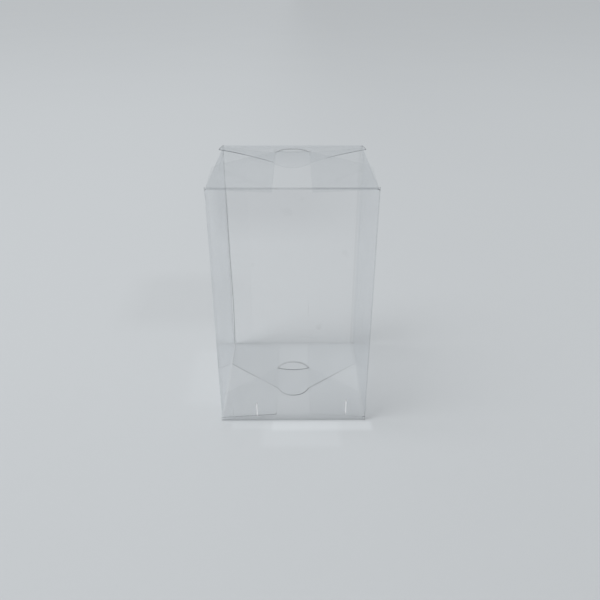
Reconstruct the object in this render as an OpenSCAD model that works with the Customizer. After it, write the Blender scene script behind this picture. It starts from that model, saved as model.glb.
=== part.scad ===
// Clear folding box: one die-cut, creased and side-glued film blank.
// Each end is closed by two dust flaps, a tuck flap from the front panel and a lock flap from the
// back panel. The tuck flap's tongue passes under the lock flap and rises into its half-moon eye.
// +X is right, +Y is back and +Z is up. The origin is the centre of the base, on the ground.

/* [Panels] */
// Outside width of the box, left to right
box_w = 76; // [64:1:110]
// Outside depth of the box, front to back
box_d = 76; // [66:1:84]
// Height between the end creases
box_h = 127; // [60:1:250]
// Thickness of the film
film_t = 0.3; // [0.2:0.05:0.45]
// Outside radius of every scored fold
fold_r = 0.6; // [0.5:0.05:1.2]
// Slit left between the root of a flap and the upright fold beside it
relief = 0.3; // [0.2:0.05:0.8]
// Air between films that lie on each other at the ends
layer_gap = 0.2; // [0.15:0.05:0.4]

/* [Glued seam] */
// Width of the glue strip, from the left panel's face
seam_w = 12; // [8:0.5:20]
// How far the back panel's free edge stops short of the left panel's face
seam_setback = 1.2; // [0.8:0.1:3]
// How far each end of the glue strip is cut back at its free edge
seam_taper = 4; // [2:0.5:8]

/* [Dust flaps] */
// Reach of a dust flap, from the side panel's face to its free edge
dust_reach = 29; // [20:0.1:31]
// How far each end of a dust flap tapers in over its reach
dust_taper = 2.5; // [1:0.1:6]
// Radius of the free corners of a dust flap
dust_corner_r = 1; // [0.5:0.1:3]
// Slope at which the upper dust flaps droop into the box, in degrees
dust_droop = 4; // [1:0.5:8]

/* [Lock and tuck flaps] */
// Length of the straight side edge of a flap, from its crease
side_edge = 23.5; // [14:0.5:26]
// Distance from a flap's crease to the tip of its tongue
tongue_reach = 54.4; // [50:0.1:59]
// Length of the tongue, from the shoulders to its tip
tongue_len = 6.4; // [5.5:0.1:7.5]
// Radius of the tongue
tongue_r = 8.9; // [8:0.1:10]
// Radius of the inside corners at the shoulders
shoulder_r = 3; // [1:0.1:4]

/* [Half-moon eye] */
// How much of the other flap's tongue shows in the eye
eye_depth = 7.9; // [6.5:0.1:8.2]
// How far the lip of the eye bows towards the tongue's root
lip_bow = 1.9; // [1:0.1:3]
// Gap between the tongue and the round edge of the eye
eye_gap = 0.9; // [0.5:0.1:1.5]

/* [Roof] */
// Height of the crowned upper closure above its creases
crown_rise = 4; // [2:0.1:7]
// How far behind the middle of the box the crown lies
crown_offset = 2; // [0.4:0.1:4]

/* [Hinges] */
// Slit along the crease on which a lock flap turns
hinge_gap = 0.2; // [0.1:0.05:0.3]

/* [Hidden] */
$fn = 60;
// Facets in the quarter turn of a fold, in the crowned roof, and in a tongue's shoulder and its round
fold_steps = 8;
roof_steps = 28;
shoulder_steps = 6;
tongue_steps = 14;
film = [0.80, 0.83, 0.86, 0.45];

// A cutter or an uncut film reaches this far past what it has to meet
past = 1;

// Depths below the end creases, to the outer face of each layer of film
tuck_level = film_t + layer_gap;
dust_level = 2 * tuck_level;

// Widths of the flaps' roots
lock_root = box_w - 2 * (fold_r + relief);
dust_root = box_d - 2 * (fold_r + film_t + relief);

// Places along a flap, measured from its crease
shoulder_reach = tongue_reach - tongue_len;
other_tip = box_d - tongue_reach;
eye_lip = other_tip + eye_depth;
tip_bend = box_d - (eye_lip - lip_bow - layer_gap);

// The tongue is round. Its shoulders are where the slanted edges meet the round.
tongue_c = [0, tongue_reach - tongue_r];
shoulder = [sqrt(tongue_len * (2 * tongue_r - tongue_len)), shoulder_reach];
elbow = [lock_root / 2, side_edge];

// The lip is an arc through the eye's two ends
eye_r = tongue_r + eye_gap;
lip_drop = tongue_r - eye_depth + lip_bow;
lip_chord = sqrt(eye_r * eye_r - lip_drop * lip_drop);
lip_r = (lip_chord * lip_chord + lip_bow * lip_bow) / (2 * lip_bow);

// The roof is an arc from the back crease over the crown
crown_run = box_d / 2 - crown_offset;
roof_r = (crown_run * crown_run + crown_rise * crown_rise) / (2 * crown_rise);
roof_z = crown_rise - roof_r;
roof_start = asin((crown_run - fold_r) / (roof_r - fold_r));
roof_fold_z = roof_z + (roof_r - fold_r) * cos(roof_start);
roof_end = acos((tongue_reach + past - crown_run) / roof_r);

// The tuck flap runs straight from its crease until it meets the roof from below
under_r = roof_r - tuck_level;
under_c = [box_d - crown_run, roof_z];
tuck_c = [fold_r, -fold_r];
tuck_slope = atan2(under_c[1] - tuck_c[1], under_c[0] - tuck_c[0])
  + asin((under_r - fold_r) / norm(under_c - tuck_c));
bend_angle = acos((tip_bend - under_c[0]) / under_r);
tip_angle = acos((tongue_reach - under_c[0]) / roof_r);

function toward(angle) = [cos(angle), sin(angle)];
function unit(v) = v / norm(v);
function heading(v) = atan2(v[1], v[0]);
// Points along an arc, up to the last but one
function arc_points(centre, radius, from, to, steps) =
  [for (i = [0 : steps - 1]) centre + radius * toward(from + (to - from) * i / steps)];

// A bent strip of film: part of a ring between two angles, seen on its edge
module bent_film(radius, from, to) {
  intersection() {
    difference() {
      circle(radius);
      circle(radius - film_t);
    }
    polygon([[0, 0], 2 * radius * toward(from), 2 * radius * toward((from + to) / 2),
             2 * radius * toward(to)]);
  }
}

// The patch between a corner and the arc that rounds it
module corner_patch(corner, next_a, next_b, radius) {
  a = unit(next_a - corner);
  b = unit(next_b - corner);
  half = acos(a * b) / 2;
  centre = corner + unit(a + b) * radius / sin(half);
  run = radius / tan(half);
  difference() {
    polygon([corner, corner + a * run, centre, corner + b * run]);
    translate(centre) circle(radius);
  }
}

// Plan of a lock or tuck flap, with its crease on the X axis. An arc round inside_c rounds the inside
// corner between the slanted edge and the tongue, and meets both without a kink.
module flap_plan() {
  slant = unit(shoulder - elbow);
  out = [slant[1], -slant[0]];
  start = elbow + shoulder_r * out - tongue_c;
  span = tongue_r + shoulder_r;
  reach = -start * slant - sqrt(pow(start * slant, 2) - start * start + span * span);
  inside_c = tongue_c + start + reach * slant;
  meet = heading(inside_c - tongue_c);
  half = concat([[lock_root / 2, -past], elbow],
                arc_points(inside_c, shoulder_r, heading(out) + 180, meet + 180, shoulder_steps),
                arc_points(tongue_c, tongue_r, meet, 90, tongue_steps));
  other_half = [for (i = [len(half) - 1 : -1 : 0]) [-half[i][0], half[i][1]]];
  polygon(concat(half, [[0, tongue_reach]], other_half));
}

// Plan of the half-moon eye in a lock flap
module eye_plan() {
  intersection() {
    translate([0, other_tip + tongue_r]) circle(eye_r);
    translate([0, eye_lip - lip_r]) circle(lip_r, $fn = 180);
  }
}

// Plan of a dust flap, with its crease on the X axis
module dust_plan() {
  wide = dust_root / 2;
  narrow = wide - dust_taper;
  corner = [narrow, dust_reach];
  difference() {
    polygon([[-wide, -past], [wide, -past], [wide, 0], corner, [-narrow, dust_reach], [-wide, 0]]);
    for (side = [0, 1]) {
      mirror([side, 0]) corner_patch(corner, [wide, 0], [0, dust_reach], dust_corner_r);
    }
  }
}

// A section has X as the distance in from the panel's face, and Y as the height above the crease.
// Its film follows stations, each [centre, radius, angle] of a point on the outer face.
function arc_stations(centre, radius, from, to, steps) =
  [for (i = [0 : steps]) [centre, radius, from + (to - from) * i / steps]];
function flat_station(point, angle) = [point - fold_r * toward(angle), fold_r, angle];
function on_film(station, depth) = station[0] + (station[1] - depth) * toward(station[2]);

module film_section(stations) {
  last = len(stations) - 1;
  outer = [for (station = stations) on_film(station, 0)];
  inner = [for (i = [last : -1 : 0]) on_film(stations[i], film_t)];
  polygon(concat(outer, inner));
}

module flat_lock_section() {
  film_section(concat(arc_stations([fold_r, -fold_r], fold_r, 180, 90, fold_steps),
                      [flat_station([tongue_reach + past, 0], 90)]));
}

module crowned_lock_section() {
  roof_at = 90 + roof_start;
  film_section(concat(arc_stations([fold_r, roof_fold_z], fold_r, 180, roof_at, fold_steps),
                      arc_stations([crown_run, roof_z], roof_r, roof_at, roof_end, roof_steps)));
}

// The film slips under the lock flap's tongue, and its own tip comes up into the eye
module flat_tuck_section() {
  rise = tuck_level * past / (tongue_reach - tip_bend);
  film_section(concat(arc_stations(tuck_c, fold_r, 180, 90, fold_steps),
                      [flat_station([other_tip - past, -tuck_level], 90),
                       flat_station([tip_bend, -tuck_level], 90),
                       flat_station([tongue_reach + past, rise], 90)]));
}

module crowned_tuck_section() {
  tuck_at = 90 + tuck_slope;
  bend = under_c + under_r * toward(bend_angle);
  tip = under_c + roof_r * toward(tip_angle);
  along = unit(tip - bend);
  film_section(concat(arc_stations(tuck_c, fold_r, 180, tuck_at, fold_steps),
                      arc_stations(under_c, under_r, tuck_at, bend_angle, roof_steps),
                      [flat_station(tip + past * along, 90 + atan2(along[1], along[0]))]));
}

module dust_section(droop) {
  centre = [fold_r, -dust_level - fold_r];
  end = centre + (dust_reach + past) * toward(-droop) + fold_r * toward(90 - droop);
  film_section(concat(arc_stations(centre, fold_r, 180, 90 - droop, fold_steps),
                      [flat_station(end, 90 - droop)]));
}

// A flap on the panel whose face is at -span/2 on the Y axis: a section, cut to a plan
module folded_flap(span) {
  room = crown_rise + dust_level + dust_reach;
  intersection() {
    translate([-box_w, -span / 2, 0]) rotate([90, 0, 90]) linear_extrude(2 * box_w) children(0);
    translate([0, -span / 2, -room]) linear_extrude(2 * room) children(1);
  }
}

// What a fold takes out of the end of a panel
module fold_notch(span, width, depth) {
  translate([-width / 2, -span / 2 - past, -depth]) cube([width, past + fold_r + film_t, depth + past]);
}

module from_back() { mirror([0, 1, 0]) children(); }
module from_sides() { for (turn = [-90, 90]) rotate(turn) children(); }
module at_top() { translate([0, 0, box_h]) children(); }
module at_bottom() { mirror([0, 0, 1]) children(); }

// Plan of the glued sleeve, without the strip that lies inside the back panel
module sleeve_plan() {
  left = -box_w / 2;
  right = box_w / 2;
  front = -box_d / 2;
  back = box_d / 2;
  translate([left + fold_r, front]) square([box_w - 2 * fold_r, film_t]);
  translate([right - film_t, front + fold_r]) square([film_t, box_d - 2 * fold_r]);
  translate([left + seam_setback, back - film_t]) square([box_w - seam_setback - fold_r, film_t]);
  translate([left, front + fold_r]) square([film_t, box_d - 2 * fold_r - film_t]);
  translate([left + fold_r, front + fold_r]) bent_film(fold_r, 180, 270);
  translate([right - fold_r, front + fold_r]) bent_film(fold_r, 270, 360);
  translate([right - fold_r, back - fold_r]) bent_film(fold_r, 0, 90);
  translate([left + fold_r, back - film_t - fold_r]) bent_film(fold_r, 90, 180);
}

// The strip turns in from the left panel and is glued to the inside of the back panel
module glue_strip() {
  near = -box_w / 2 + fold_r;
  far = -box_w / 2 + seam_w;
  translate([0, box_d / 2 - film_t, 0]) rotate([90, 0, 0]) linear_extrude(film_t)
    polygon([[near, 0], [far, seam_taper], [far, box_h - seam_taper], [near, box_h]]);
}

module end_notches(tuck_depth, lock_depth) {
  lock_notch = lock_root + 2 * relief;
  fold_notch(box_d, lock_notch, tuck_depth);
  from_back() fold_notch(box_d, lock_notch, lock_depth + hinge_gap);
  from_sides() fold_notch(box_w, dust_root + 2 * relief, dust_level + fold_r);
}

module sleeve() {
  difference() {
    union() {
      linear_extrude(box_h) sleeve_plan();
      glue_strip();
    }
    at_top() end_notches(fold_r, -roof_fold_z);
    at_bottom() end_notches(fold_r, fold_r);
  }
}

module box_sheet() {
  color(film) union() {
    sleeve();
    at_top() {
      folded_flap(box_d) {
        crowned_tuck_section();
        flap_plan();
      }
      from_sides() folded_flap(box_w) {
        dust_section(dust_droop);
        dust_plan();
      }
    }
    at_bottom() {
      folded_flap(box_d) {
        flat_tuck_section();
        flap_plan();
      }
      from_sides() folded_flap(box_w) {
        dust_section(0);
        dust_plan();
      }
    }
  }
}

module lock_plan() {
  difference() {
    flap_plan();
    eye_plan();
  }
}

module top_lock_flap() {
  color(film) at_top() from_back() folded_flap(box_d) {
    crowned_lock_section();
    lock_plan();
  }
}

module bottom_lock_flap() {
  color(film) at_bottom() from_back() folded_flap(box_d) {
    flat_lock_section();
    lock_plan();
  }
}

box_sheet();
top_lock_flap();
bottom_lock_flap();
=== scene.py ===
import math

import bmesh
import bpy
import numpy as np
from mathutils import Matrix, Vector
from mathutils.geometry import delaunay_2d_cdt


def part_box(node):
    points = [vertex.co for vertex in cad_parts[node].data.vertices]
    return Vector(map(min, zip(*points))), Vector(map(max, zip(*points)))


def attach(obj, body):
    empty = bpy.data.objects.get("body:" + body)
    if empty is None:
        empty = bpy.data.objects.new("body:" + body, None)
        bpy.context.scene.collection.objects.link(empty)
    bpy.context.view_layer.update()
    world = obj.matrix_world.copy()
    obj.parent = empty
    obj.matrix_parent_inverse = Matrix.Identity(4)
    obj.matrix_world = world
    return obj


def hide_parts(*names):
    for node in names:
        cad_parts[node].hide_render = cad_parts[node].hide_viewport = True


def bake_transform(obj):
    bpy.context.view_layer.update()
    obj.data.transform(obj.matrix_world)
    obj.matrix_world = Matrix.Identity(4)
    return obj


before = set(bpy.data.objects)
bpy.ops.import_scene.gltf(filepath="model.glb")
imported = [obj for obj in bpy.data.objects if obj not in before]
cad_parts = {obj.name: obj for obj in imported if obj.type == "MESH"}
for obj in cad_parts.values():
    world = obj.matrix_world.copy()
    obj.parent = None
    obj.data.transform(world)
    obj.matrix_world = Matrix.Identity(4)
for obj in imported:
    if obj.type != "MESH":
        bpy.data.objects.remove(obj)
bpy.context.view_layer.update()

# The clear folding box as one flat blank of film, laid round its folds. On the blank, u runs round the
# wall from the glued strip, v runs up it from the lower creases, and both are in millimetres.
MM = 0.001

# The blank's sizes in millimetres, as the frame has them
sheet_low, sheet_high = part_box("box_sheet")
BOX_W = (sheet_high.x - sheet_low.x) / MM
BOX_D = (sheet_high.y - sheet_low.y) / MM
BOX_H = 127
FILM_T = 0.3
FOLD_R = 0.6
RELIEF = 0.3
LAYER_GAP = 0.2
HINGE_GAP = 0.2
SEAM_W = 12
SEAM_SETBACK = 1.2
SEAM_TAPER = 4
DUST_REACH = 29
DUST_TAPER = 2.5
DUST_CORNER_R = 1
DUST_DROOP = 4
SIDE_EDGE = 23.5
TONGUE_REACH = 54.4
TONGUE_LEN = 6.4
TONGUE_R = 8.9
SHOULDER_R = 3
EYE_DEPTH = 7.9
LIP_BOW = 1.9
EYE_GAP = 0.9
CROWN_RISE = 4
CROWN_OFFSET = 2
# A section, a line or an uncut stretch reaches this far past what it has to meet
PAST = 1
# Length over which a tuck flap turns up into the eye
BEND_RUN = 0.1

# Air that keeps the glued strip's face off the back panel's
GLUE_GAP = 0.03
# How far the back panel's free edge has crept towards the corner, how far it bows back, and how low
# down
SEAM_CREEP = 1.1
SEAM_BOW = 0.6
SEAM_BOW_LOW = 3
# How strongly the painted shade of creases and cut edges shows, from 0 to 1, and how far
# a crease's shade fades out. The dark lines stand in for light that the folds and cut edges turn aside
CREASE_FADE = 0.3
CORNER_CREASES = (0.06, 0.06, 1.0, 0.12)
TOP_TUCK_CREASE = ((-38, 0.4), (0, 0.42), (12, 0.58), (38, 0.52))
BOTTOM_TUCK_CREASE = ((-38, 0.45), (-10, 0.32), (38, 0.32))
BOTTOM_TUCK_FADE = 0.5
SIDE_CREASE = ((0, 0.07),)
SEAM_EDGE = 1.0
SEAM_LINE = ((96, 0.4), (102, 0.1))
SEAM_LINE_W = 0.75
STRIP_EDGE = 0.05
NOTCH_EDGE = 0.3
SLANT_EDGE = 0.06
DUST_EDGE = 0.06
DUST_FRONT_EDGE = 0.5
# A tuck flap's tongue, on its left and on its right, and where across it the one passes into the other
TOP_TONGUE = (0.8, 0.8)
BOTTOM_TONGUE = (0.3, 0.6)
TONGUE_TURN = (-4, 2)
# A lock flap's crease, tongue, eye and lip, and its slanted edges at places from left to right
TOP_LOCK_SHOWS = {
    "crease": 0.03, "nose": (0.1, 0.1), "eye": 0.12, "lip": 0.3,
    "slant": ((-37, 1.0), (-27, 0.95), (-18, 0.55), (-11, 0.5), (-8, 0.1), (15, 0.05), (19, 0.5),
              (26, 0.7), (37, 0.7)),
}
BOTTOM_LOCK_SHOWS = {
    "crease": 0.07, "nose": (0.4, 0.95), "eye": 0.25, "lip": 0.9,
    "slant": ((-37, 0.3), (-27, 0.6), (-19, 0.1), (-11, 0.3), (11, 0.4), (20, 0.65), (27, 0.2),
              (37, 0.2)),
}
# Mesh: spacing of the rows on a panel, rows in a fold and how far off it the next row lies
ROW_STEP = 4.0
FOLD_ROWS = 6
FOLD_SIDE = 0.35
# Width of the strip of narrow faces along a cut edge, how far off the edge the rows end, and the longest
# edge in it
EDGE_STRIP = 0.25
KEEP_OFF = 2.5 * EDGE_STRIP
EDGE_STEP = 2.0
# Degrees between stations on an arc, and points on an arc of an outline
ARC_STEP = 0.5
OUTLINE_ARC_STEPS = 14
# How far a fold's line stops short of the ends of a flap's root, or runs past a lock flap's sides
ROOT_INSET = 0.2
SIDE_PAST = 0.1
# A point this near an edge is on it, and this near the eye is on the eye's edge
ON_EDGE = 0.05
ON_EYE = 0.2
# The least square of a mitre's length, faces flatter than this are dropped, and the angle of a sharp edge
MITRE_LIMIT = 0.4
NO_AREA = 1e-9
SHARP_ANGLE = 50

TUCK_LEVEL = FILM_T + LAYER_GAP
DUST_LEVEL = 2 * TUCK_LEVEL
LOCK_ROOT = BOX_W - 2 * (FOLD_R + RELIEF)
DUST_ROOT = BOX_D - 2 * (FOLD_R + FILM_T + RELIEF)
SHOULDER_REACH = TONGUE_REACH - TONGUE_LEN
OTHER_TIP = BOX_D - TONGUE_REACH
EYE_LIP = OTHER_TIP + EYE_DEPTH
TIP_BEND = BOX_D - (EYE_LIP - LIP_BOW - LAYER_GAP)
SHOULDER_X = math.sqrt(TONGUE_LEN * (2 * TONGUE_R - TONGUE_LEN))
EYE_R = TONGUE_R + EYE_GAP
LIP_CHORD = math.sqrt(EYE_R ** 2 - (TONGUE_R - EYE_DEPTH + LIP_BOW) ** 2)
LIP_R = (LIP_CHORD ** 2 + LIP_BOW ** 2) / (2 * LIP_BOW)

# The crowned roof is an arc from the back crease over the crown
CROWN_RUN = BOX_D / 2 - CROWN_OFFSET
ROOF_R = (CROWN_RUN ** 2 + CROWN_RISE ** 2) / (2 * CROWN_RISE)
ROOF_Z = CROWN_RISE - ROOF_R
ROOF_START = math.degrees(math.asin((CROWN_RUN - FOLD_R) / (ROOF_R - FOLD_R)))
ROOF_FOLD_Z = ROOF_Z + (ROOF_R - FOLD_R) * math.cos(math.radians(ROOF_START))


def toward(angle):
    return np.array([math.cos(math.radians(angle)), math.sin(math.radians(angle))])


def heading(v):
    return math.degrees(math.atan2(v[1], v[0]))


def arc(centre, radius, start, end, step=ARC_STEP):
    """Stations along an arc: x, y and the direction in degrees that the outer face looks in."""
    count = max(2, math.ceil(abs(end - start) / step))
    angles = np.linspace(start, end, count + 1)
    places = [np.array(centre) + radius * toward(a) for a in angles]
    return np.column_stack([places, angles])


def station(point, angle):
    return np.array([[point[0], point[1], angle]])


def trace(*parts):
    """A bent line as a table: length along it, x, y and the direction of its outer face."""
    table = np.vstack(parts)
    steps = np.hypot(np.diff(table[:, 0]), np.diff(table[:, 1]))
    return np.column_stack([np.r_[0, np.cumsum(steps)], table])


def along(table, length):
    """x, y and the outer direction in radians at lengths along a trace."""
    x, y, angle = (np.interp(length, table[:, 0], table[:, k]) for k in (1, 2, 3))
    return x, y, np.radians(angle)


def wall_trace():
    """The sleeve seen from above, from the glued strip's edge round to the back panel's free edge."""
    left, right, front, back = -BOX_W / 2, BOX_W / 2, -BOX_D / 2, BOX_D / 2
    strip = back - FILM_T - GLUE_GAP
    return trace(
        station((left + SEAM_W, strip), 90),
        arc((left + FOLD_R, strip - FOLD_R), FOLD_R, 90, 180),
        arc((left + FOLD_R, front + FOLD_R), FOLD_R, 180, 270),
        arc((right - FOLD_R, front + FOLD_R), FOLD_R, 270, 360),
        arc((right - FOLD_R, back - FOLD_R), FOLD_R, 360, 450),
        station((left + SEAM_SETBACK, back), 450),
        station((left, back), 450),
    )


# A flap's section has X as the distance in from the panel's face and Y as the height above the crease
def flat_lock_section():
    return trace(
        arc((FOLD_R, -FOLD_R), FOLD_R, 180, 90),
        station((TONGUE_REACH, 0), 90),
    )


def crowned_lock_section():
    roof_at = 90 + ROOF_START
    roof_end = math.degrees(math.acos((TONGUE_REACH + PAST - CROWN_RUN) / ROOF_R))
    return trace(
        arc((FOLD_R, ROOF_FOLD_Z), FOLD_R, 180, roof_at),
        arc((CROWN_RUN, ROOF_Z), ROOF_R, roof_at, roof_end),
    )


def flat_tuck_section():
    lift = math.degrees(math.atan2(TUCK_LEVEL, TONGUE_REACH - TIP_BEND))
    bent_to = (TIP_BEND + BEND_RUN, -TUCK_LEVEL + BEND_RUN * math.tan(math.radians(lift)))
    return trace(
        arc((FOLD_R, -FOLD_R), FOLD_R, 180, 90),
        station((OTHER_TIP - PAST, -TUCK_LEVEL), 90),
        station((TIP_BEND, -TUCK_LEVEL), 90),
        station(bent_to, 90 + lift),
        station((TONGUE_REACH, 0), 90 + lift),
    )


def crowned_tuck_section():
    under_r = ROOF_R - TUCK_LEVEL
    under = np.array([BOX_D - CROWN_RUN, ROOF_Z])
    fold = np.array([FOLD_R, -FOLD_R])
    reach = under - fold
    slope = math.atan2(reach[1], reach[0]) + math.asin((under_r - FOLD_R) / np.hypot(*reach))
    tuck_at = 90 + math.degrees(slope)
    bend_at = math.degrees(math.acos((TIP_BEND - under[0]) / under_r))
    bend = under + under_r * toward(bend_at)
    tip = under + ROOF_R * toward(math.degrees(math.acos((TONGUE_REACH - under[0]) / ROOF_R)))
    tip_at = 90 + math.degrees(math.atan2(tip[1] - bend[1], tip[0] - bend[0]))
    return trace(
        arc(fold, FOLD_R, 180, tuck_at),
        arc(under, under_r, tuck_at, bend_at),
        station(bend + BEND_RUN * (tip - bend) / np.hypot(*(tip - bend)), tip_at),
        station(tip, tip_at),
    )


def dust_section(droop):
    centre = np.array([FOLD_R, -DUST_LEVEL - FOLD_R])
    end = centre + (DUST_REACH + PAST) * toward(-droop) + FOLD_R * toward(90 - droop)
    return trace(arc(centre, FOLD_R, 180, 90 - droop), station(end, 90 - droop))


def arc_points(centre, radius, start, end, steps):
    """Points along an arc, up to the last but one."""
    return [np.array(centre) + radius * toward(a) for a in np.linspace(start, end, steps + 1)[:-1]]


def mirrored(half, middle):
    """An outline from its left root to the middle, and down its right half to the right root."""
    return [np.array((-p[0], p[1])) for p in half] + middle + [np.array(p) for p in half[::-1]]


def flap_outline():
    """A lock or tuck flap's cut edge in plan. An arc round inside_c rounds the inside corner between
    the slanted edge and the tongue."""
    root = LOCK_ROOT / 2
    elbow, shoulder = np.array((root, SIDE_EDGE)), np.array((SHOULDER_X, SHOULDER_REACH))
    centre = np.array((0, TONGUE_REACH - TONGUE_R))
    slant = (shoulder - elbow) / np.hypot(*(shoulder - elbow))
    out = np.array((slant[1], -slant[0]))
    start = elbow + SHOULDER_R * out - centre
    span = TONGUE_R + SHOULDER_R
    reach = -start @ slant - math.sqrt((start @ slant) ** 2 - start @ start + span ** 2)
    inside_c = centre + start + reach * slant
    meet = heading(inside_c - centre)
    half = [(root, 0), elbow]
    half += arc_points(inside_c, SHOULDER_R, heading(out) + 180, meet + 180, OUTLINE_ARC_STEPS)
    half += arc_points(centre, TONGUE_R, meet, 90, 2 * OUTLINE_ARC_STEPS)
    return mirrored(half, [np.array((0, TONGUE_REACH))])


def dust_outline():
    """A dust flap's cut edge in plan, with rounded free corners."""
    wide, narrow = DUST_ROOT / 2, DUST_ROOT / 2 - DUST_TAPER
    side_at = math.degrees(math.atan2(DUST_TAPER, DUST_REACH))
    inset = DUST_CORNER_R * math.tan(math.radians((90 - side_at) / 2))
    centre = (narrow - inset, DUST_REACH - DUST_CORNER_R)
    half = [(wide, 0), *arc_points(centre, DUST_CORNER_R, side_at, 90, OUTLINE_ARC_STEPS)]
    return mirrored(half + [(centre[0], DUST_REACH)], [])


def eye_outline():
    """The half-moon eye: the other flap's tongue end with a gap round it, closed by a bowed lip."""
    centre = np.array((0, OTHER_TIP + TONGUE_R))
    last = heading(np.array((LIP_CHORD, EYE_LIP - LIP_BOW)) - centre)
    half = math.degrees(math.asin(LIP_CHORD / LIP_R))
    lip = arc_points((0, EYE_LIP - LIP_R), LIP_R, 90 - half, 90 + half, 2 * OUTLINE_ARC_STEPS)
    return lip + arc_points(centre, EYE_R, -180 - last, last, 4 * OUTLINE_ARC_STEPS)


def finer(loop):
    """The loop with points added, so that no edge is longer than a step."""
    points = []
    for a, b in zip(loop, np.roll(loop, -1, axis=0)):
        count = math.ceil(np.hypot(*(b - a)) / EDGE_STEP)
        points += [a + (b - a) * i / count for i in range(count)]
    return np.array(points)


def inside(points, loops):
    """True for each point inside an odd number of the closed loops."""
    crossings = np.zeros(len(points), int)
    x, y = points[:, 0], points[:, 1]
    for loop in loops:
        for (x0, y0), (x1, y1) in zip(loop, np.roll(loop, -1, axis=0)):
            if y0 == y1:
                continue
            spans = (y0 > y) != (y1 > y)
            crossings += spans & (x < x0 + (y - y0) * (x1 - x0) / (y1 - y0))
    return crossings % 2 == 1


def area(loop):
    x, y = loop[:, 0], loop[:, 1]
    return 0.5 * float(np.sum(x * np.roll(y, -1) - np.roll(x, -1) * y))


def offset_loop(loop, distance):
    """The loop moved to its left by a distance, with mitred corners."""
    before = loop - np.roll(loop, 1, axis=0)
    after = np.roll(loop, -1, axis=0) - loop
    before /= np.hypot(before[:, 0], before[:, 1])[:, None]
    after /= np.hypot(after[:, 0], after[:, 1])[:, None]
    left_before = np.column_stack([-before[:, 1], before[:, 0]])
    left_after = np.column_stack([-after[:, 1], after[:, 0]])
    mitre = left_before + left_after
    share = 2 / np.maximum(np.sum(mitre * mitre, axis=1), MITRE_LIMIT)
    return loop + distance * mitre * share[:, None]


def flat_mesh(outline, holes, columns, rows, fold_lines):
    """A triangulated flat blank: its points and its triangles.
    columns and rows give the inner points, and fold_lines are cut into the mesh as whole edges."""
    loops = [finer(np.array(loop)) for loop in (outline, *holes)]
    loops[0] = loops[0] if area(loops[0]) > 0 else loops[0][::-1]
    loops[1:] = [h if area(h) < 0 else h[::-1] for h in loops[1:]]
    strips = [offset_loop(loop, EDGE_STRIP) for loop in loops]
    keep_off = [offset_loop(loop, KEEP_OFF) for loop in loops]
    grid = np.array([(x, y) for x in columns for y in rows])
    grid = grid[inside(grid, keep_off)]
    points, edges = [], []
    for loop in [*loops, *strips]:
        first = len(points)
        points += list(loop)
        edges += [(first + i, first + (i + 1) % len(loop)) for i in range(len(loop))]
    for line in fold_lines:
        first = len(points)
        points += list(line)
        edges += [(first + i, first + i + 1) for i in range(len(line) - 1)]
    points += list(grid)
    found = delaunay_2d_cdt([Vector(p) for p in points], edges, [], 0, 1e-5)
    flat = np.array([tuple(v) for v in found[0]])
    faces = np.array([f if len(f) == 3 else f[:3] for f in found[2]])
    centres = flat[faces].mean(axis=1)
    faces = faces[inside(centres, loops)]
    corners = flat[faces]
    turned = np.cross(corners[:, 1] - corners[:, 0], corners[:, 2] - corners[:, 0])
    faces = faces[np.abs(turned) > NO_AREA]
    return flat, faces


def only_used(flat, faces):
    """The flat points that a face has, and the faces with the points numbered anew."""
    used = np.unique(faces)
    number = {old: new for new, old in enumerate(used)}
    return flat[used], [tuple(number[i] for i in f) for f in faces]


def add_film_faces(mesh, verts, faces):
    """Adds the outer and inner faces and, between them, the faces along the cut edges. Gives back the
    numbers of the flat points on a cut edge."""
    count = len(verts) // 2
    sides = {}
    for a, b, c in faces:
        mesh.faces.new((verts[a], verts[b], verts[c]))
        mesh.faces.new((verts[count + c], verts[count + b], verts[count + a]))
        for pair in ((a, b), (b, c), (c, a)):
            sides[pair] = True
    edge = [(a, b) for a, b in sides if (b, a) not in sides]
    for a, b in edge:
        mesh.faces.new((verts[b], verts[a], verts[count + a], verts[count + b]))
    return {i for pair in edge for i in pair}


def add_piece(name, mesh):
    """Turns a mesh under work into an object, smooth but for its sharp edges."""
    bmesh.ops.recalc_face_normals(mesh, faces=mesh.faces)
    data = bpy.data.meshes.new(name)
    mesh.to_mesh(data)
    mesh.free()
    data.shade_smooth()
    data.set_sharp_from_angle(angle=math.radians(SHARP_ANGLE))
    piece = bpy.data.objects.new(name, data)
    bpy.context.scene.collection.objects.link(piece)
    return piece


def film_solid(name, flat, faces, place, crease_at, edge_at):
    """A film of real thickness: the flat blank laid at its place on both faces, and closed along
    its cut edges. place maps flat points and a depth to space. crease_at and edge_at give how
    strongly the painted shade of a crease or a cut edge shows at a flat point."""
    flat, faces = only_used(flat, faces)
    mesh = bmesh.new()
    rim = mesh.verts.layers.float.new("rim")
    crease = mesh.verts.layers.float.new("crease")
    both = np.vstack([place(flat, 0.0), place(flat, FILM_T)])
    verts = [mesh.verts.new(Vector(p) * MM) for p in both]
    cut = add_film_faces(mesh, verts, faces)
    edge_level, crease_level = edge_at(flat), crease_at(flat)
    for i in range(len(flat)):
        for vert in (verts[i], verts[len(flat) + i]):
            vert[rim] = float(edge_level[i]) if i in cut else 0.0
            vert[crease] = float(crease_level[i])
    return add_piece(name, mesh)


def length_at(section, reach):
    """Length along a flap's section at a distance in from the panel's face."""
    return np.interp(reach, section[:, 1], section[:, 0])


def turned_length(section):
    """Length of the fold at a flap's root, up to where its film runs on nearly straight."""
    rate = np.abs(np.diff(section[:, 3])) / np.maximum(np.diff(section[:, 0]), 1e-9)
    return float(section[np.argmin(rate > math.degrees(1 / FOLD_R) / 2), 0])


def crossing_rows(low, high, step):
    count = max(2, round((high - low) / step))
    return list(np.linspace(low, high, count + 1)[1:-1])


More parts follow.
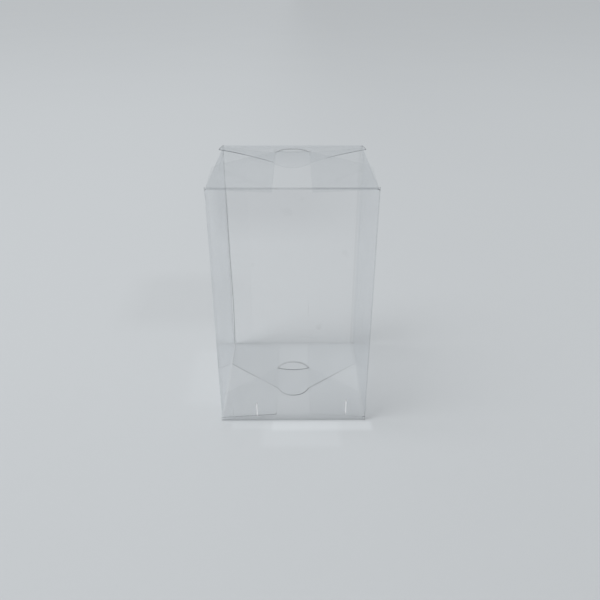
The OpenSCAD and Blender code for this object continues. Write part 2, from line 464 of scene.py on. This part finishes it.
class Flap:
    """One flap of the sheet: where its root lies on the wall, its section and its cut edge."""

    def __init__(self, middle, half_root, section, outline, depth, top, crease, edges):
        self.middle, self.half_root, self.section = middle, half_root, section
        self.depth, self.notch, self.top = depth, half_root + RELIEF, top
        self.outline = outline
        self.crease, self.edges = crease, edges
        self.fold = turned_length(section)

    def beyond(self, v):
        """How far flat points lie past the flap's root."""
        return (v - self.root()) if self.top else (self.root() - v)

    def holds(self, u, v):
        return (self.beyond(v) > 0) & (np.abs(u - self.middle) <= self.half_root + 0.5 * RELIEF)

    def root(self):
        return BOX_H - self.depth if self.top else self.depth

    def edge(self):
        """Flat points of the flap and its notch, from left to right."""
        sign = 1 if self.top else -1
        crest = BOX_H if self.top else 0
        across = [(p[0], self.root() + sign * length_at(self.section, p[1])) for p in self.outline]
        notch = [(-self.notch, crest), (-self.notch, self.root())]
        notch_end = [(self.notch, self.root()), (self.notch, crest)]
        return [(self.middle + x, y) for x, y in notch + across + notch_end]


WALL = wall_trace()
# Length of the film round an upright fold
CORNER_RUN = FOLD_R * math.pi / 2


def wall_length(corner_count, offset):
    """Length along the wall's trace after some corners, plus an offset."""
    side = BOX_D - FILM_T - GLUE_GAP - 2 * FOLD_R
    runs = [SEAM_W - FOLD_R, side, BOX_W - 2 * FOLD_R, BOX_D - 2 * FOLD_R]
    return sum(runs[:corner_count]) + CORNER_RUN * corner_count + offset


# Middles of the panels along the wall, and where its corners turn
LEFT_MID = wall_length(1, (BOX_D / 2 - FILM_T - GLUE_GAP) - FOLD_R)
FRONT_MID = wall_length(2, BOX_W / 2 - FOLD_R)
RIGHT_MID = wall_length(3, BOX_D / 2 - FOLD_R)
BACK_MID = wall_length(4, BOX_W / 2 - FOLD_R)
CORNERS = [wall_length(k, 0) for k in (1, 2, 3, 4)]
WALL_END = float(WALL[-2, 0])
NOTCH = LOCK_ROOT / 2 + RELIEF


def tuck_edges(flap, u, v):
    """The tongue's edge shows its painted shade well, and the long slanted edges hardly."""
    on_tongue = flap.beyond(v) > length_at(flap.section, SHOULDER_REACH)
    sides = TOP_TONGUE if flap.top else BOTTOM_TONGUE
    return np.where(on_tongue, np.interp(u - flap.middle, TONGUE_TURN, sides), SLANT_EDGE)


def left_dust_edges(flap, u, v):
    """The lower left dust flap's front edge shows its painted shade."""
    front = u > flap.middle + flap.half_root - DUST_TAPER - DUST_CORNER_R
    return np.where(front & (not flap.top), DUST_FRONT_EDGE, DUST_EDGE)


def plain_dust_edges(flap, u, v):
    return np.full(len(u), DUST_EDGE)


def sheet_flaps():
    tuck, dust = flap_outline(), dust_outline()
    made = []
    for top in (True, False):
        dusts = dust_section(DUST_DROOP if top else 0)
        tucks = crowned_tuck_section() if top else flat_tuck_section()
        crease = TOP_TUCK_CREASE if top else BOTTOM_TUCK_CREASE
        for middle, section, outline, root, depth, shows, edges in (
            (LEFT_MID, dusts, dust, DUST_ROOT / 2, DUST_LEVEL + FOLD_R, SIDE_CREASE, left_dust_edges),
            (FRONT_MID, tucks, tuck, LOCK_ROOT / 2, FOLD_R, crease, tuck_edges),
            (RIGHT_MID, dusts, dust, DUST_ROOT / 2, DUST_LEVEL + FOLD_R, SIDE_CREASE, plain_dust_edges),
        ):
            made.append(Flap(middle, root, section, outline, depth, top, shows, edges))
    return made


def lock_depth(top):
    """How far below the crease's level the lock flap's fold begins."""
    return -ROOF_FOLD_Z if top else FOLD_R


def free_edge(height):
    """The back panel's free edge bows in from the corner low down, where the film is slack."""
    return WALL_END + SEAM_CREEP - SEAM_BOW * np.sin(np.pi * (1 - height / BOX_H) ** SEAM_BOW_LOW)


def seam_rows():
    """Heights of the points along the back panel's free edge."""
    return crossing_rows(lock_depth(False), BOX_H - lock_depth(True), ROW_STEP)


def sheet_outline(flaps):
    """The whole blank's cut edge, along its top and back along its bottom."""
    def side(top):
        crest = BOX_H if top else 0
        inset = -SEAM_TAPER if top else SEAM_TAPER
        hinge = lock_depth(top) + HINGE_GAP
        points = [(0, crest + inset), (SEAM_W - FOLD_R, crest)]
        for flap in flaps:
            if flap.top == top:
                points += flap.edge()
        level = crest - hinge if top else crest + hinge
        return points + [(BACK_MID - NOTCH, crest), (BACK_MID - NOTCH, level), (free_edge(level), level)]

    return side(False) + [(free_edge(v), v) for v in seam_rows()] + side(True)[::-1]


def sheet_place(flaps):
    """Maps flat points of the blank to space."""
    def place(flat, depth):
        u, v = flat[:, 0], flat[:, 1]
        x, y, angle = along(WALL, u)
        out = np.column_stack([np.cos(angle), np.sin(angle)])
        reach, height, face = np.zeros(len(u)), v.copy(), np.full(len(u), math.pi)
        for flap in flaps:
            on = flap.holds(u, v)
            d, h, turn = along(flap.section, flap.beyond(v[on]))
            reach[on] = d
            height[on] = BOX_H + h if flap.top else -h
            face[on] = turn if flap.top else -turn
        inward = reach - depth * np.cos(face)
        level = height - depth * np.sin(face)
        return np.column_stack([np.column_stack([x, y]) - out * inward[:, None], level])

    return place


def near(value, places, half, fade):
    """1 within half of one of the places, falling to 0 over fade."""
    gap = np.min([np.abs(value - p) for p in places], axis=0)
    return np.clip(1 - (gap - half) / fade, 0, 1)


def fold_rows(root, length, sign):
    """Rows across a fold, with one on either side of it."""
    steps = np.linspace(0, length, FOLD_ROWS + 1)
    return [root + sign * t for t in (-FOLD_SIDE, *steps, length + FOLD_SIDE)]


def upright_lines(rows):
    """Lines up each upright fold and on either side of it."""
    lines = []
    for start in CORNERS:
        for u in fold_rows(start, CORNER_RUN, 1):
            lines.append([(u, -PAST), *[(u, v) for v in rows], (u, BOX_H + PAST)])
    return lines


def root_lines(flaps):
    """Lines across the fold at each flap's root. Beyond the root they run into the slits beside it."""
    lines = []
    for flap in flaps:
        sign = 1 if flap.top else -1
        for v in fold_rows(flap.root(), flap.fold, sign):
            half = flap.half_root + (0.5 * RELIEF if (v - flap.root()) * sign > 0 else -ROOT_INSET)
            steps = crossing_rows(-half, half, ROW_STEP)
            lines.append([(flap.middle + a, v) for a in (-half, *steps, half)])
    return lines


def sheet_mesh(flaps):
    columns = []
    for begin, end in zip([0, *[c + CORNER_RUN for c in CORNERS]], [*CORNERS, WALL_END]):
        columns += crossing_rows(begin, end, ROW_STEP)
    rows = crossing_rows(DUST_LEVEL + FOLD_R, BOX_H - DUST_LEVEL - FOLD_R, ROW_STEP)
    lines = upright_lines(rows) + root_lines(flaps)
    lines.append([(free_edge(v) - SEAM_LINE_W, v) for v in seam_rows()])
    longest = max(float(flap.section[-1, 0]) for flap in flaps)
    for sign, root in ((1, BOX_H), (-1, 0)):
        rows += [root + sign * t for t in crossing_rows(PAST, longest, ROW_STEP)]
    return flat_mesh(sheet_outline(flaps), [], columns, rows, lines)


def sheet_creases(flaps, points):
    """How strongly the painted shade of a crease of the sheet, or of the line along its glued seam, shows at
    flat points.
    """
    u, v = points[:, 0], points[:, 1]
    level = np.zeros(len(u))
    for start, shows in zip(CORNERS, CORNER_CREASES):
        level = np.maximum(level, shows * near(u, [start + CORNER_RUN / 2], CORNER_RUN / 2, CREASE_FADE))
    level *= (v >= 0) & (v <= BOX_H)
    for flap in flaps:
        on = np.abs(u - flap.middle) <= flap.half_root + 0.5 * RELIEF
        fade = BOTTOM_TUCK_FADE if flap.middle == FRONT_MID and not flap.top else CREASE_FADE
        bent = near(flap.beyond(v), [flap.fold / 2], flap.fold / 2, fade)
        shows = np.interp(u - flap.middle, *zip(*flap.crease))
        level = np.maximum(level, shows * on * bent)
    seam = near(u - free_edge(np.clip(v, 0, BOX_H)), [0], EDGE_STRIP, SEAM_LINE_W - EDGE_STRIP)
    return np.maximum(level, np.interp(v, *zip(*SEAM_LINE)) * seam)


def sheet_edges(flaps, points):
    """How strongly the painted shade of the sheet's cut edge shows at flat points. Along the hinges it
    doesn't.
    """
    u, v = points[:, 0], points[:, 1]
    level = np.full(len(u), NOTCH_EDGE)
    level[u < SEAM_W - FOLD_R + ON_EDGE] = STRIP_EDGE
    level[u > WALL_END - ON_EDGE] = SEAM_EDGE
    top_slit = BOX_H - lock_depth(True) - HINGE_GAP - ON_EDGE
    bottom_slit = lock_depth(False) + HINGE_GAP + ON_EDGE
    hinges = (v > top_slit) | (v < bottom_slit)
    level[(u > BACK_MID - NOTCH + RELIEF) & hinges] = 0
    for flap in flaps:
        on = flap.holds(u, v) & (flap.beyond(v) > flap.fold)
        level[on] = flap.edges(flap, u[on], v[on])
    return level


def box_sheet_film():
    flaps = sheet_flaps()
    flat, faces = sheet_mesh(flaps)
    return film_solid("clear_sheet", flat, faces, sheet_place(flaps),
                      lambda points: sheet_creases(flaps, points), lambda points: sheet_edges(flaps, points))


def lock_mesh(section, fold):
    """A lock flap's flat film with its eye, from the slit at its crease on."""
    def laid(points):
        return [(p[0], float(length_at(section, p[1]))) for p in points]

    half = LOCK_ROOT / 2
    outline = [(-half, -HINGE_GAP), *laid(flap_outline())[1:-1], (half, -HINGE_GAP)]
    rows = crossing_rows(0, float(section[-1, 0]), ROW_STEP)
    columns = crossing_rows(-half, half, ROW_STEP)
    across = (-half - SIDE_PAST, *columns, half + SIDE_PAST)
    lines = [[(a, v) for a in across] for v in fold_rows(0, fold, 1)[1:]]
    return flat_mesh(outline, [laid(eye_outline())], columns, rows, lines)


def lock_place(section, top):
    """Maps flat points of a lock flap to space."""
    def place(points, depth):
        t = points[:, 1]
        reach, height, face = along(section, np.maximum(t, 0))
        inward = reach - depth * np.cos(face)
        level = height - depth * np.sin(face) + np.minimum(t, 0)
        level = BOX_H + level if top else -level
        return np.column_stack([points[:, 0], BOX_D / 2 - inward, level])

    return place


def lock_edges(section, fold, shows, points):
    """How strongly the painted shade of a lock flap's cut edges shows at flat points: slants, nose, eye and
    lip.
    """
    x, t = points[:, 0], points[:, 1]
    slant = np.interp(x, *zip(*shows["slant"]))
    nose = np.interp(x, TONGUE_TURN, shows["nose"])
    level = np.where(t > length_at(section, SHOULDER_REACH), nose, slant)
    in_eye = (np.abs(x) < LIP_CHORD + ON_EYE) & (t < length_at(section, EYE_LIP + ON_EYE))
    bow = LIP_R - np.sqrt(np.maximum(LIP_R ** 2 - x ** 2, 0))
    on_lip = np.abs(t - length_at(section, EYE_LIP - bow)) < ON_EDGE
    level[in_eye] = shows["eye"]
    level[in_eye & on_lip] = shows["lip"]
    level[t < fold] = 0
    return level


def lock_film(name, top, shows):
    """A lock flap with its eye, from the back panel's edge on. shows says how strongly the painted
    shade of its crease and of each of its cut edges shows."""
    section = crowned_lock_section() if top else flat_lock_section()
    fold = turned_length(section)
    flat, faces = lock_mesh(section, fold)

    def creases(points):
        return shows["crease"] * near(points[:, 1], [fold / 2], fold / 2 + HINGE_GAP, CREASE_FADE)

    return film_solid(name, flat, faces, lock_place(section, top), creases,
                      lambda points: lock_edges(section, fold, shows, points))


class Tree:
    """A material's node tree, with short calls to add and link nodes."""

    def __init__(self, name):
        self.material = bpy.data.materials.new(name)
        self.material.use_nodes = True
        self.nodes = self.material.node_tree.nodes
        self.links = self.material.node_tree.links
        self.nodes.clear()

    def add(self, kind, **inputs):
        node = self.nodes.new("ShaderNode" + kind)
        for key, value in inputs.items():
            socket = node.inputs[key.replace("_", " ")]
            self.put(value, socket)
        return node

    def put(self, value, socket):
        if isinstance(value, bpy.types.NodeSocket):
            self.links.new(value, socket)
        else:
            socket.default_value = value

    def math(self, operation, a, b=0.0, clamp=False):
        node = self.nodes.new("ShaderNodeMath")
        node.operation = operation
        node.use_clamp = clamp
        self.put(a, node.inputs[0])
        self.put(b, node.inputs[1])
        return node.outputs[0]

    def ramp(self, value, low, high):
        """0 at low, 1 at high and straight between them."""
        node = self.nodes.new("ShaderNodeMapRange")
        self.put(value, node.inputs["Value"])
        node.inputs["From Min"].default_value = low
        node.inputs["From Max"].default_value = high
        return node.outputs[0]

    def mix_colour(self, share, a, b):
        node = self.nodes.new("ShaderNodeMix")
        node.data_type = "RGBA"
        self.put(share, node.inputs[0])
        self.put(a, node.inputs[6])
        self.put(b, node.inputs[7])
        return node.outputs[2]

    def mix_shader(self, share, a, b):
        node = self.nodes.new("ShaderNodeMixShader")
        self.put(share, node.inputs[0])
        self.links.new(a, node.inputs[1])
        self.links.new(b, node.inputs[2])
        return node.outputs[0]

    def attribute(self, name):
        node = self.nodes.new("ShaderNodeAttribute")
        node.attribute_name = name
        return node.outputs["Fac"]

    def finish(self, shader):
        self.links.new(shader, self.add("OutputMaterial").inputs["Surface"])
        return self.material


# What each face of the film lets through: seen square on, at a flat angle, and with painted shade at a
# crease and at a cut edge
CLEAR_TINT = (0.9963, 0.9967, 0.9970, 1)
GRAZE_TINT = (0.965, 0.967, 0.969, 1)
CREASE_SHADE_TINT = (0.75, 0.757, 0.764, 1)
RIM_SHADE_TINT = (0.42, 0.43, 0.44, 1)
TINT_POWER = 4.0

# Gloss: how much the film mirrors square on, and how much more at a flat angle
MIRROR_COLOUR = (0.95, 0.96, 0.97, 1)
MIRROR_ROUGH = 0.06
MIRROR_LEAST = 0.014
MIRROR_GRAZE = 0.65
MIRROR_POWER = 5.0

# The film's slow waves and its fine skin: noise scale, detail, bump strength and height in metres
FILM_WAVE = (22.0, 2.0, 0.25, 0.004)
FILM_SKIN = (900.0, 3.0, 0.05, 0.0002)

# Hairline scratches: a turn and a stretch for each way they run, where the noise peaks, and how they show
SCRATCH_RUNS = ((0.4, (1, 1, 14)), (1.3, (16, 1, 1)), (2.2, (1, 12, 1)))
SCRATCH_SCALE = 90
SCRATCH_PEAK = (0.76, 0.80)
SCRATCH_SHOWS = 0.05
HAZE_COLOUR = (0.75, 0.77, 0.79, 1)

# Painted highlights: short upright glints low on the front panel, standing in for reflections of the lamps:
# x, lowest z and highest z in millimetres
GLINT_PLACES = ((-19.0, 3.5, 10.9), (27.5, 4.7, 13.0))
GLINT_W = 0.3
GLINT_TIP = 1
GLINT_SHOWS = 0.9
GLINT_COLOUR = (0.96, 0.97, 0.98, 1)

# Painted shade across the top of the front panel, standing in for a dark reflection there: where it rises
# to full and falls to none, across and up
TOP_SHADE_TINT = (0.958, 0.958, 0.960, 1)
TOP_SHADE_RISE_X = (-36, -31)
TOP_SHADE_FALL_X = (4, 45)
TOP_SHADE_RISE_Z = (101, 116)
TOP_SHADE_FALL_Z = (126, 127)


def soft_band(tree, value, low, high, fade):
    """1 between low and high, falling to 0 over a fade outside them."""
    rise = tree.ramp(value, low - fade, low)
    fall = tree.ramp(value, high, high + fade)
    return tree.math("SUBTRACT", rise, fall)


def front_panel(tree, axes):
    """1 on the front panel and 0 on the rest of the box."""
    return tree.ramp(axes.outputs["Y"], (-BOX_D / 2 + 2) * MM, (-BOX_D / 2 + 1) * MM)


def painted_top_shade(tree, axes):
    """Where the painted shade across the top of the front panel is, from 0 to 1."""
    share = front_panel(tree, axes)
    for axis, rise, fall in (("X", TOP_SHADE_RISE_X, TOP_SHADE_FALL_X), ("Z", TOP_SHADE_RISE_Z, TOP_SHADE_FALL_Z)):
        for start, end in (rise, fall[::-1]):
            share = tree.math("MULTIPLY", share, tree.ramp(axes.outputs[axis], start * MM, end * MM))
    return share


def painted_glints(tree, axes):
    """Where the painted glints are, from 0 to 1."""
    scratch_and_glint_mask = 0.0
    for x, low, high in GLINT_PLACES:
        left, right = (x - GLINT_W / 2) * MM, (x + GLINT_W / 2) * MM
        across = soft_band(tree, axes.outputs["X"], left, right, GLINT_W * MM)
        foot, head = (low + GLINT_TIP) * MM, (high - GLINT_TIP) * MM
        upward = soft_band(tree, axes.outputs["Z"], foot, head, 2 * GLINT_TIP * MM)
        scratch_and_glint_mask = tree.math("MAXIMUM", scratch_and_glint_mask, tree.math("MULTIPLY", across, upward))
    return tree.math("MULTIPLY", scratch_and_glint_mask, front_panel(tree, axes))


def fine_scratches(tree, place):
    """Hairline scratches that run every way, each a thin stretch where a drawn-out noise peaks."""
    scratch_and_glint_mask = 0.0
    for turn, stretch in SCRATCH_RUNS:
        laid = tree.add("Mapping", Vector=place, Rotation=(turn, turn / 2, turn))
        laid.inputs["Scale"].default_value = [SCRATCH_SCALE * s for s in stretch]
        fleck = tree.add("TexNoise", Vector=laid.outputs[0], Scale=1.0, Detail=1.0).outputs["Fac"]
        scratch_and_glint_mask = tree.math("MAXIMUM", scratch_and_glint_mask, tree.ramp(fleck, *SCRATCH_PEAK))
    return scratch_and_glint_mask


def noise_bump(tree, place, look, **inputs):
    """A bumped normal. look has the noise's scale and detail, and the bump's strength and height."""
    scale, detail, strength, height = look
    noise = tree.add("TexNoise", Vector=place, Scale=scale, Detail=detail).outputs["Fac"]
    return tree.add("Bump", Strength=strength, Distance=height, Height=noise, **inputs).outputs["Normal"]


def film_tint(tree, axes, facing):
    """What a face of the film lets through, darkened by painted shade across the top of the front panel, at
    creases and at cut edges.
    """
    tint = tree.mix_colour(tree.math("POWER", facing, TINT_POWER), CLEAR_TINT, GRAZE_TINT)
    # Painted shade across the top of the front panel
    tint = tree.mix_colour(painted_top_shade(tree, axes), tint, TOP_SHADE_TINT)
    # Painted shade on creases and cut edges
    tint = tree.mix_colour(tree.attribute("crease"), tint, CREASE_SHADE_TINT)
    return tree.mix_colour(tree.attribute("rim"), tint, RIM_SHADE_TINT)


def film_material():
    """Clear film: it lets most light straight through, and mirrors more at a flat angle."""
    tree = Tree("clear_film")
    place = tree.add("TexCoord").outputs["Object"]
    axes = tree.add("SeparateXYZ", Vector=place)
    facing = tree.add("LayerWeight", Blend=0.5).outputs["Facing"]
    clear = tree.add("BsdfTransparent", Color=film_tint(tree, axes, facing)).outputs[0]
    haze = tree.add("BsdfDiffuse", Color=HAZE_COLOUR).outputs[0]
    scratched = tree.math("MULTIPLY", fine_scratches(tree, place), SCRATCH_SHOWS)
    # Painted highlights: short whitish glints low on the front panel, standing in for reflections of the
    # lamps
    glint_white = tree.add("BsdfDiffuse", Color=GLINT_COLOUR).outputs[0]
    glint_share = tree.math("MULTIPLY", painted_glints(tree, axes), GLINT_SHOWS)
    scratched_and_glinting = tree.mix_shader(glint_share, tree.mix_shader(scratched, clear, haze), glint_white)
    normal = noise_bump(tree, place, FILM_SKIN, Normal=noise_bump(tree, place, FILM_WAVE))
    gloss = tree.add("BsdfGlossy", Color=MIRROR_COLOUR, Roughness=MIRROR_ROUGH, Normal=normal).outputs[0]
    graze = tree.math("MULTIPLY", tree.math("POWER", facing, MIRROR_POWER), MIRROR_GRAZE)
    mirror = tree.math("ADD", graze, MIRROR_LEAST, clamp=True)
    return tree.finish(tree.mix_shader(mirror, scratched_and_glinting, gloss))


FLOOR_COLOUR = (0.570, 0.596, 0.616, 1)
FLOOR_SIZE = 40.0
FLOOR_DROP = 0.00015
GRAIN_SCALE = 3.0
GRAIN_SHOWS = 0.02
# How the floor's light falls off: to a share of it far behind the box, towards the camera, and from left
# to right. The spans are in metres.
FAR_LEVEL = 0.86
FAR_SPAN = 1.45
FALL_FRONT = 0.18
FALL_SIDE = 0.033
SIDE_SPAN = 0.12
# Light and shade that the film throws on the floor: low x, high x, low y, high y and fade in millimetres,
# and strength
THROWN_LIGHT = (
    (-10, 40, -45, -39.5, 2, 0.07),
    (-31, 40, -43.5, -39.5, 2, 0.04),
    (-14, 22, -56, -41, 4, 0.04),
    (-56, -41, -20, 26, 8, 0.025),
    (-105, -55, 75, 125, 25, -0.04),
)


def floor_material():
    tree = Tree("studio_floor")
    place = tree.add("TexCoord").outputs["Object"]
    axes = tree.add("SeparateXYZ", Vector=place)
    x, y = axes.outputs["X"], axes.outputs["Y"]
    behind = tree.math("DIVIDE", tree.math("MAXIMUM", y, 0.0), FAR_SPAN)
    behind = tree.math("DIVIDE", 1.0 - FAR_LEVEL, tree.math("ADD", 1.0, tree.math("POWER", behind, 2.0)))
    front = tree.math("MULTIPLY", tree.math("MAXIMUM", tree.math("MULTIPLY", y, -1.0), 0.0), FALL_FRONT)
    level = tree.math("DIVIDE", tree.math("ADD", behind, FAR_LEVEL), tree.math("ADD", 1.0, front))
    side = tree.math("TANH", tree.math("DIVIDE", x, SIDE_SPAN))
    level = tree.math("MULTIPLY", level, tree.math("SUBTRACT", 1.0, tree.math("MULTIPLY", side, FALL_SIDE)))
    for low_x, high_x, low_y, high_y, fade, strength in THROWN_LIGHT:
        spot = tree.math("MULTIPLY", soft_band(tree, x, low_x * MM, high_x * MM, fade * MM),
                         soft_band(tree, y, low_y * MM, high_y * MM, fade * MM))
        level = tree.math("MULTIPLY", level, tree.math("ADD", 1.0, tree.math("MULTIPLY", spot, strength)))
    grain = tree.add("TexNoise", Vector=place, Scale=GRAIN_SCALE, Detail=2.0).outputs["Fac"]
    grain = tree.math("ADD", 1.0 - GRAIN_SHOWS / 2, tree.math("MULTIPLY", grain, GRAIN_SHOWS))
    level = tree.math("MULTIPLY", level, grain)
    shade = tree.add("VectorMath")
    shade.operation = "SCALE"
    shade.inputs[0].default_value = FLOOR_COLOUR[:3]
    tree.put(level, shade.inputs["Scale"])
    return tree.finish(tree.add("BsdfDiffuse", Color=shade.outputs[0]).outputs[0])


def make_floor():
    mesh = bpy.data.meshes.new("studio_floor")
    half = FLOOR_SIZE / 2
    corners = [(-half, -half), (half, -half), (half, half), (-half, half)]
    mesh.from_pydata([(x, y, -FLOOR_DROP) for x, y in corners], [], [(0, 1, 2, 3)])
    floor = bpy.data.objects.new("studio_floor", mesh)
    floor.data.materials.append(floor_material())
    bpy.context.scene.collection.objects.link(floor)


# Soft light all round, the backdrop that the camera sees instead of it, and one broad lamp
WORLD_STRENGTH = 0.52
BACKDROP_COLOUR = (0.48, 0.505, 0.522, 1)
KEY_FROM = (-0.62, -0.20, 1.0)
KEY_ANGLE = 38
KEY_STRENGTH = 1.753


def make_world():
    """Plain soft light all round, seen by the camera and in reflections as the pale backdrop."""
    world = bpy.data.worlds.new("studio")
    bpy.context.scene.world = world
    world.use_nodes = True
    nodes, links = world.node_tree.nodes, world.node_tree.links
    nodes.clear()
    path = nodes.new("ShaderNodeLightPath")
    seen = nodes.new("ShaderNodeMath")
    seen.operation = "MAXIMUM"
    links.new(path.outputs["Is Camera Ray"], seen.inputs[0])
    links.new(path.outputs["Is Glossy Ray"], seen.inputs[1])
    also = nodes.new("ShaderNodeMath")
    also.operation = "MAXIMUM"
    links.new(seen.outputs[0], also.inputs[0])
    links.new(path.outputs["Is Transmission Ray"], also.inputs[1])
    light = nodes.new("ShaderNodeBackground")
    light.inputs["Color"].default_value = (1, 1, 1, 1)
    light.inputs["Strength"].default_value = WORLD_STRENGTH
    backdrop = nodes.new("ShaderNodeBackground")
    backdrop.inputs["Color"].default_value = BACKDROP_COLOUR
    mix = nodes.new("ShaderNodeMixShader")
    links.new(also.outputs[0], mix.inputs[0])
    links.new(light.outputs[0], mix.inputs[1])
    links.new(backdrop.outputs[0], mix.inputs[2])
    links.new(mix.outputs[0], nodes.new("ShaderNodeOutputWorld").inputs["Surface"])


def make_key():
    """One broad soft lamp, high on the left."""
    data = bpy.data.lights.new("key", "SUN")
    data.angle = math.radians(KEY_ANGLE)
    data.energy = KEY_STRENGTH
    lamp = bpy.data.objects.new("key", data)
    lamp.location = KEY_FROM
    lamp.rotation_mode = "QUATERNION"
    lamp.rotation_quaternion = (-Vector(KEY_FROM)).to_track_quat("-Z", "Y")
    bpy.context.scene.collection.objects.link(lamp)


# The photograph's view: focal length in pixels of its 600-pixel frame, the camera's turns in degrees and
# its place in metres, from the middle of the base and along its own axes
FRAME_PIXELS = 600
FOCAL_PIXELS = 587.7
SENSOR_MM = 36
PITCH = 28.243
ROLL = 0.110
HEADING = -0.541
CAMERA_BACK = 0.34519
CAMERA_RIGHT = 0.00377
CAMERA_UP = 0.04591
CLIP_START = 0.01
CLIP_END = 50


def make_camera():
    data = bpy.data.cameras.new("camera")
    data.sensor_width = SENSOR_MM
    data.lens = FOCAL_PIXELS * SENSOR_MM / FRAME_PIXELS
    data.clip_start = CLIP_START
    data.clip_end = CLIP_END
    camera = bpy.data.objects.new("camera", data)
    aim = Matrix.Rotation(math.radians(HEADING), 4, "Z") @ Matrix.Rotation(math.radians(90 - PITCH), 4, "X")
    place = aim @ Vector((CAMERA_RIGHT, CAMERA_UP, CAMERA_BACK))
    camera.matrix_world = Matrix.Translation(place) @ aim @ Matrix.Rotation(math.radians(ROLL), 4, "Z")
    bpy.context.scene.collection.objects.link(camera)
    bpy.context.scene.camera = camera


# The film's layers are seen through one another, two faces each, so rays pass many of them
TRANSPARENT_BOUNCES = 64
bpy.context.scene.cycles.transparent_max_bounces = TRANSPARENT_BOUNCES
bpy.context.scene.view_settings.view_transform = "Standard"

make_camera()
make_world()
make_floor()
make_key()

film = film_material()
sheet = box_sheet_film()
top_lock = lock_film("top_lock_film", True, TOP_LOCK_SHOWS)
bottom_lock = lock_film("bottom_lock_film", False, BOTTOM_LOCK_SHOWS)
for piece in (sheet, top_lock, bottom_lock):
    piece.data.materials.append(film)

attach(sheet, "box")
for piece, body, fold_z, panel_z in (
    (top_lock, "top_flap", BOX_H + ROOF_FOLD_Z, BOX_H),
    (bottom_lock, "bottom_flap", FOLD_R, 0),
):
    away = HINGE_GAP if panel_z == 0 else -HINGE_GAP
    wall, turned = (0, BOX_D / 2, fold_z + away), (0, BOX_D / 2 - FOLD_R, panel_z)
    Vector(wall) * MM
    Vector(turned) * MM
    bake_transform(piece)
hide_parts("box_sheet")
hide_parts("top_lock_flap")
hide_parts("bottom_lock_flap")
